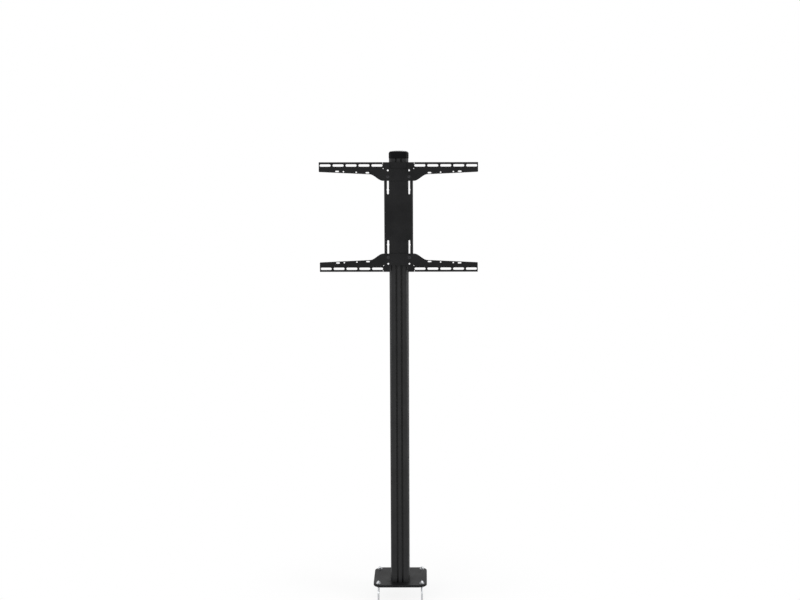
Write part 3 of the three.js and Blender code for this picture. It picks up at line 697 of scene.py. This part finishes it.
def makeSpine():
    low, high, _ = span("spine_plate")
    s, bend = spine, spine["bend"]
    flange, length = high[1] - low[1], high[2] - low[2]
    flatHalf = high[0] - bend
    quarter = bend * np.pi / 2
    half = flatHalf + quarter + flange - bend
    lines = flatHalf + np.linspace(0, quarter, foldSteps + 1)
    right = [(x, 0, 0) for x in lines]
    right += [(half, 0, s["flangeCorner"]), (half, length, s["flangeCorner"])]
    right += [(x, length, 0) for x in lines[::-1]]
    outline = roundedLoop(right + [(-x, y, r) for x, y, r in right[::-1]])
    folds = [((side * x, 0), (side * x, length)) for side in (-1, 1) for x in lines]
    loops, profiles = [outline], [edgeRows(s["thick"], s["edge"], s["edge"])]
    hole = edgeRows(s["thick"], s["holeEdge"], s["holeEdge"], holeSteps)
    sink = sinkRows(s["thick"], s["sinkReach"], s["sinkFlush"], s["sinkEdge"])
    edges = {"upper": length, "lower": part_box("lower_bracket_plate")[0][2] - low[2]}
    for end, sign in endSigns.items():
        slotAt = edges[end] - sign * s["slotDrop"]
        sightAt = edges[end] - sign * s["sightDrop"]
        clampAt = edges[end] - sign * s["clampDrop"]
        for side in (-1, 1):
            loops += [keyholeSlot(side * s["boltX"], slotAt, s["slotWide"], s["slotLong"],
                                  -sign * s["roundAt"], s["round"]),
                      roundHole(side * s["boltX"], sightAt, s["sight"]),
                      roundHole(side * s["clampX"], clampAt, s["clampHole"])]
            profiles += [hole, hole, sink]

    def place(x, height, depth):
        past = np.maximum(np.abs(x) - flatHalf, 0)
        angle = np.minimum(past / bend, np.pi / 2)
        beyond = np.maximum(past - quarter, 0)
        arm = bend - depth
        across = np.where(past > 0, flatHalf + arm * np.sin(angle), np.abs(x))
        y = np.where(past > 0, low[1] + bend - arm * np.cos(angle) + beyond, low[1] + depth)
        return np.stack([np.sign(x) * across, y, low[2] + height], 1)

    shell = plateShell(loops, profiles, place, folds)
    makePiece("spine_channel", shell, "carrier", "powder_coat", "spine_plate")


# Brackets: a winged sheet whose straight edge is folded back along each arm, past a short slit.
# Heights and drops are measured from the straight edge.
bracket = metres({
    "thick": 3, "edge": 0.5, "holeEdge": 0.35, "bend": 4, "flangeCorner": 3,
    "notchHalf": 35, "notchDepth": 26, "notchRadius": 9, "notchCorner": 1.5,
    "slitFrom": 60.3, "slitTo": 61.7, "slitDepth": 7.5, "slitRound": 0.69, "slitCorner": 0.9,
    "endHeight": 37.5, "endRadius": 3, "rootHeight": 46.5, "rootAt": 113,
    "shoulderAt": 59, "middleHeight": 71.8,
    "slotFirst": 82.75, "slotPitch": 50, "slotLong": 42.5, "slotWide": 9, "slotDrop": 12.5,
    "reliefInset": 5.6, "reliefWide": 5.5, "reliefLong": 14,
    "boltX": 41, "boltDrop": 56, "boltHole": 3.3, "sinkReach": 3, "sinkFlush": 0.3, "sinkEdge": 0.1,
    "sightDrop": 31.5, "sight": 3.5, "pinX": 59, "pinDrop": 24.5, "pin": 1.6,
})
slotsPerArm = 5
reliefShares = ((0.39, True), (0.53, False), (0.69, False), (0.77, True))  # of the arm, and whether long
curvePoints = 25
pinSteps = 20


# The arm's height at x: on the straight line from its root's height to its end's
def armHeight(x, armHalf):
    s = bracket
    share = (x - s["rootAt"]) / (armHalf - s["rootAt"])
    return s["rootHeight"] + share * (s["endHeight"] - s["rootHeight"])


# The outline runs from the notch round the slit and the arm, and back along half a cosine wave
def makeBracket(end):
    node = f"{end}_bracket_plate"
    low, high, _ = span(node)
    s, sign, bend = bracket, endSigns[end], bracket["bend"]
    armHalf, flange = high[0], high[1] - low[1]
    edge = high[2] if sign > 0 else low[2]
    quarter = bend * np.pi / 2
    lines = np.linspace(0, quarter, foldSteps + 1) - bend
    flangeTop = quarter + flange - 2 * bend
    ease = np.linspace(0, 1, curvePoints)
    curveX = s["rootAt"] + (s["shoulderAt"] - s["rootAt"]) * ease
    curveY = s["rootHeight"] + (s["middleHeight"] - s["rootHeight"]) * (1 - np.cos(np.pi * ease)) / 2
    half = [(s["notchHalf"], -s["notchDepth"], s["notchRadius"]), (s["notchHalf"], 0, s["notchCorner"]),
            (s["slitFrom"], 0, s["slitCorner"]), (s["slitFrom"], -s["slitDepth"], s["slitRound"]),
            (s["slitTo"], -s["slitDepth"], s["slitRound"])]
    half += [(s["slitTo"], y, 0) for y in lines]
    half += [(s["slitTo"], flangeTop, s["flangeCorner"]), (armHalf, flangeTop, s["flangeCorner"])]
    half += [(armHalf, y, 0) for y in lines[::-1]]
    half += [(armHalf, -s["endHeight"], s["endRadius"])] + [(x, -y, 0) for x, y in zip(curveX, curveY)]
    outline = roundedLoop(half + [(-x, y, r) for x, y, r in half[::-1]])[::-1]
    folds = [((side * s["slitTo"], y), (side * armHalf, y)) for side in (-1, 1) for y in lines]
    loops, profiles = [outline], [edgeRows(s["thick"], s["edge"], s["edge"])]
    hole = edgeRows(s["thick"], s["holeEdge"], s["holeEdge"], holeSteps)
    for side in (-1, 1):
        for i in range(slotsPerArm):
            x = side * (s["slotFirst"] + i * s["slotPitch"])
            loops.append(slotHole(x, -s["slotDrop"], s["slotLong"], s["slotWide"]))
        for share, long in reliefShares:
            x = share * armHalf
            y = s["reliefInset"] - armHeight(x, armHalf)
            wide = s["reliefLong"] if long else s["reliefWide"]
            loops.append(slotHole(side * x, y, wide, s["reliefWide"]))
        loops += [roundHole(side * s["boltX"], -s["sightDrop"], s["sight"]),
                  roundHole(side * s["pinX"], -s["pinDrop"], s["pin"], pinSteps)]
    profiles += [hole] * (len(loops) - 1)
    for side in (-1, 1):
        loops.append(roundHole(side * s["boltX"], -s["boltDrop"], s["boltHole"]))
        profiles.append(sinkRows(s["thick"], s["sinkReach"], s["sinkFlush"], s["sinkEdge"]))
    slitMiddle = (s["slitFrom"] + s["slitTo"]) / 2

    def place(x, height, depth):
        past = np.where(np.abs(x) > slitMiddle, np.maximum(height + bend, 0), 0)
        angle = np.minimum(past / bend, np.pi / 2)
        beyond = np.maximum(past - quarter, 0)
        arm = bend - depth
        y = np.where(past > 0, low[1] + bend - arm * np.cos(angle) + beyond, low[1] + depth)
        up = np.where(past > 0, arm * np.sin(angle) - bend, height)
        return np.stack([x, y, edge + sign * up], 1)

    shell = plateShell(loops, profiles, place, folds)
    makePiece(f"{end}_bracket_sheet", shell, f"{end}_bracket", "powder_coat", node)


# Spacer blocks and nut bars: drilled blocks with rounded edges
blocks = metres({
    "spacerCorner": 3, "spacerEdge": 0.8, "barCorner": 1, "barEdge": 0.4, "holeEdge": 0.4,
    "clampX": 10, "clampHole": 3.3,
})
blockSteps = 6


def makeBlock(name, node, corner, edge, holesX, body, slotName):
    low, high, middle = span(node)
    thick = high[1] - low[1]
    loops = [rectangle((high[0] - low[0]) / 2, (high[2] - low[2]) / 2, corner, blockSteps)]
    loops += [roundHole(x, 0, blocks["clampHole"]) for x in holesX]
    hole = edgeRows(thick, blocks["holeEdge"], blocks["holeEdge"], holeSteps)
    profiles = [edgeRows(thick, edge, edge)] + [hole] * len(holesX)
    shell = plateShell(loops, profiles, rearAxis(middle[0], low[1], middle[2]))
    makePiece(name, shell, body, slotName, node)


def makeBlocks():
    clampX = (-blocks["clampX"], blocks["clampX"])
    for end in endSigns:
        makeBlock(f"spacer_block_{end}", f"spacer_{end}", blocks["spacerCorner"], blocks["spacerEdge"],
                  clampX, "carrier", "cast_aluminium")
        for side in sideNames:
            makeBlock(f"groove_nut_{end}_{side}", f"nut_bar_{end}_{side}", blocks["barCorner"],
                      blocks["barEdge"], (0,), "carrier", "zinc")


# Fasteners, as shares of the thread's diameter
shares = {
    "flats": 1.63, "dome": 1.5, "domeHex": 0.5, "bore": 0.8, "sinkHead": 2, "headEdge": 0.05,
    "headRise": 0.02, "socket": 0.66, "socketDepth": 0.4, "socketTip": 0.12, "socketEdge": 0.03,
    "threadDepth": 0.055,
}
socketShares = {"mouth": 1.06, "floor": 0.8, "floorReach": 0.4}  # of the socket's width
tipShares = {"run": 0.3, "cut": 1.6}  # of the thread's pitch and of its depth
coneShares = {"start": 0.97, "slope": 0.58}  # of half the flats, and the tangent of 30 degrees
conePoints = 5
threadPitch = {0.006: 0.001, 0.008: 0.00125}  # by diameter
anchorThread = 0.008
boltThread = 0.006
clear = 0.0003


# Countersunk screw: hex socket, 45 degree head, plain neck, thread to a chamfered tip
def sunkScrewRows(diameter, length):
    radius, head = diameter / 2, diameter / 2 * shares["sinkHead"]
    pitch, depth = threadPitch[diameter], diameter * shares["threadDepth"]
    flats, socketDepth = diameter * shares["socket"], diameter * shares["socketDepth"]
    wide = flats  # wider than any corner of the socket, so the hexagon alone sets the radius
    rise = shares["headRise"] * diameter
    rows = [(0, socketDepth + shares["socketTip"] * diameter),
            (wide * socketShares["floorReach"], socketDepth, flats * socketShares["floor"]),
            (wide, socketDepth, flats), (wide, shares["socketEdge"] * diameter, flats),
            (wide, 0, flats * socketShares["mouth"]), (head - shares["headEdge"] * diameter, 0),
            (head, rise), (head, 2 * rise), (radius, head - radius + rise)]
    rows += threadRows(radius, head - radius + pitch, length - pitch, pitch, depth, 2 * pitch)
    rows += [(radius - depth, length - tipShares["run"] * pitch)]
    return rows + [(radius - tipShares["cut"] * depth, length), (0, length)]


# Hexagon turned down at both faces by a 30 degree cone
def hexagonRows(diameter, height):
    flats = diameter * shares["flats"]
    corner, start = flats / math.sqrt(3), flats / 2 * coneShares["start"]
    rise = (corner - flats / 2) * coneShares["slope"]
    lower = [(start + (corner - start) * t, rise * t, flats) for t in np.linspace(0, 1, conePoints)]
    return lower + [(r, height - h, f) for r, h, f in lower[::-1]]


# Nut: its hexagon, then its bore with a chamfer at both ends
def nutRows(diameter, height):
    bore = diameter / 2 + clear
    inside = [(bore + clear, height), (bore, height - clear), (bore, clear)]
    return [(bore + clear, 0)] + hexagonRows(diameter, height) + inside


ringPoints = 4


# Ring with quarter-round outer edges and a chamfer of half that size in its hole
def ringRows(inner, outer, thick, edge):
    angle = np.linspace(0, np.pi / 2, ringPoints)
    low = [(outer - edge * (1 - np.sin(a)), edge * (1 - np.cos(a))) for a in angle]
    high = [(r, thick - h) for r, h in low[::-1]]
    inside = [(inner + edge / 2, thick), (inner, thick - edge / 2), (inner, edge / 2)]
    return [(inner + edge / 2, 0)] + low + high + inside


domeForm = metres({"neckOut": 0.25, "neckRise": 0.3, "boreTip": 1})
domePoints = 13


# Dome nut: bore, chamfered hexagon, then a quarter ellipse over the thread
def domeNutRows(diameter, height):
    bore, deep = diameter / 2 + clear, diameter * shares["bore"]
    hexTop, dome = diameter * shares["domeHex"], diameter * shares["dome"] / 2
    domeFoot = hexTop + domeForm["neckRise"]
    inside = [(0, deep), (bore, deep - domeForm["boreTip"]), (bore, clear), (bore + clear, 0)]
    neck = [(dome + domeForm["neckOut"], hexTop), (dome, domeFoot)]
    angle = np.linspace(0, np.pi / 2, domePoints)[1:]
    over = [(dome * np.cos(a), domeFoot + (height - domeFoot) * np.sin(a)) for a in angle]
    return inside + hexagonRows(diameter, hexTop) + neck + over


# Points round each kind of turned body
turnSteps = {"rod": 32, "sleeve": 40, "washer": 64, "domeNut": 60, "screw": 48, "nut": 48, "ring": 48}

# Wedge anchors: a cone at the foot, a neck with a slit sleeve round it, then the thread
anchorForm = metres({
    "neck": 2.88, "coneLong": 7, "neckLong": 12, "threadFoot": -30, "footEdge": 0.4, "neckEdge": 0.3,
    "washerHole": 4.3, "washerEdge": 0.35,
    "sleeveInner": 3.18, "sleeveOuter": 4, "sleeveGap": 0.3, "sleeveEdge": 0.2, "slit": 0.6,
})
rodTipCut = 1.5  # of the thread's depth
anchorTurns = (0.2, 0.75, 0.45, 0.95)  # how far each dome nut happened to be turned


def makeAnchors():
    s = anchorForm
    pitch, depth = threadPitch[anchorThread], anchorThread * shares["threadDepth"]
    for corner, turn in zip(cornerNames, anchorTurns):
        low, high, middle = span(f"anchor_rod_{corner}")
        radius = (high[0] - low[0]) / 2
        foot, coneTop = low[2], low[2] + s["coneLong"]
        neckTop = coneTop + s["neckLong"]
        rows = [(0, foot), (radius - s["footEdge"], foot), (radius, foot + s["footEdge"]),
                (s["neck"], coneTop), (s["neck"], neckTop - s["neckEdge"]), (radius, neckTop),
                (radius, s["threadFoot"] - pitch)]
        rows += threadRows(radius, s["threadFoot"], high[2] - pitch / 2, pitch, depth, 2 * pitch)
        rows += [(radius - rodTipCut * depth, high[2]), (0, high[2])]
        shell = turnedShell(rows, upAxis(middle[0], middle[1], 0), turnSteps["rod"], pitch=pitch, turn=turn)
        makePiece(f"threaded_rod_{corner}", shell, "stand", "zinc", f"anchor_rod_{corner}")

        bottom, top = coneTop + s["sleeveGap"], neckTop - s["sleeveGap"]
        ring = ringRows(s["sleeveInner"], s["sleeveOuter"], top - bottom, s["sleeveEdge"])
        shell = turnedShell(ring, upAxis(middle[0], middle[1], bottom), turnSteps["sleeve"], closed=True,
                            opening=s["slit"] / s["sleeveOuter"])
        makePiece(f"expansion_sleeve_{corner}", shell, "stand", "zinc", f"anchor_sleeve_{corner}")

        low, high, _ = span(f"anchor_washer_{corner}")
        ring = ringRows(s["washerHole"], (high[0] - low[0]) / 2, high[2] - low[2], s["washerEdge"])
        shell = turnedShell(ring, upAxis(middle[0], middle[1], low[2]), turnSteps["washer"], closed=True)
        makePiece(f"plate_washer_{corner}", shell, "stand", "zinc", f"anchor_washer_{corner}")

        low, high, _ = span(f"anchor_nut_{corner}")
        rows = domeNutRows(anchorThread, high[2] - low[2])
        shell = turnedShell(rows, upAxis(middle[0], middle[1], low[2]), turnSteps["domeNut"], turn=turn)
        makePiece(f"dome_nut_{corner}", shell, "stand", "zinc", f"anchor_nut_{corner}")

        low, high, middle = span(f"base_screw_{corner}")
        rows = sunkScrewRows(anchorThread, high[2] - low[2])
        placed = upAxis(middle[0], middle[1], low[2])
        shell = turnedShell(rows, placed, turnSteps["screw"], pitch=pitch, turn=turn)
        makePiece(f"column_screw_{corner}", shell, "stand", "zinc", f"base_screw_{corner}")


boltForm = metres({"washerHole": 3.3, "washerEdge": 0.25})
boltTurns = {"left": 0.3, "right": 0.8}


def makeSunkScrew(name, node, turn, body):
    low, high, middle = span(node)
    rows = sunkScrewRows(boltThread, high[1] - low[1])
    placed = rearAxis(middle[0], low[1], middle[2])
    shell = turnedShell(rows, placed, turnSteps["screw"], pitch=threadPitch[boltThread], turn=turn)
    makePiece(name, shell, body, "black_zinc", node)


def makeBolts():
    for end in endSigns:
        body = f"{end}_bracket"
        for side, turn in boltTurns.items():
            makeSunkScrew(f"{end}_screw_{side}", f"{end}_bolt_{side}", turn, body)

            low, high, middle = span(f"{end}_washer_{side}")
            outer, thick = (high[0] - low[0]) / 2, high[1] - low[1]
            ring = ringRows(boltForm["washerHole"], outer, thick, boltForm["washerEdge"])
            placed = rearAxis(middle[0], low[1], middle[2])
            shell = turnedShell(ring, placed, turnSteps["ring"], closed=True)
            makePiece(f"{end}_ring_{side}", shell, body, "zinc", f"{end}_washer_{side}")

            low, high, middle = span(f"{end}_nut_{side}")
            rows = nutRows(boltThread, high[1] - low[1])
            placed = rearAxis(middle[0], low[1], middle[2])
            shell = turnedShell(rows, placed, turnSteps["nut"], closed=True, turn=turn)
            makePiece(f"{end}_hex_nut_{side}", shell, body, "zinc", f"{end}_nut_{side}")

            makeSunkScrew(f"groove_screw_{end}_{side}", f"clamp_screw_{end}_{side}", turn, "carrier")


print("camera and room")
makeCamera()
makeSky()
makeLamps()
makeFloor()
print("foot plate, column, strip and cap")
makeFootPlate()
makeColumn()
makeStrip()
makeEndCap()
print("spine and brackets")
makeSpine()
for bracketEnd in endSigns:
    makeBracket(bracketEnd)
print("blocks and fasteners")
makeBlocks()
makeAnchors()
makeBolts()

bpy.context.scene.view_settings.view_transform = "Standard"
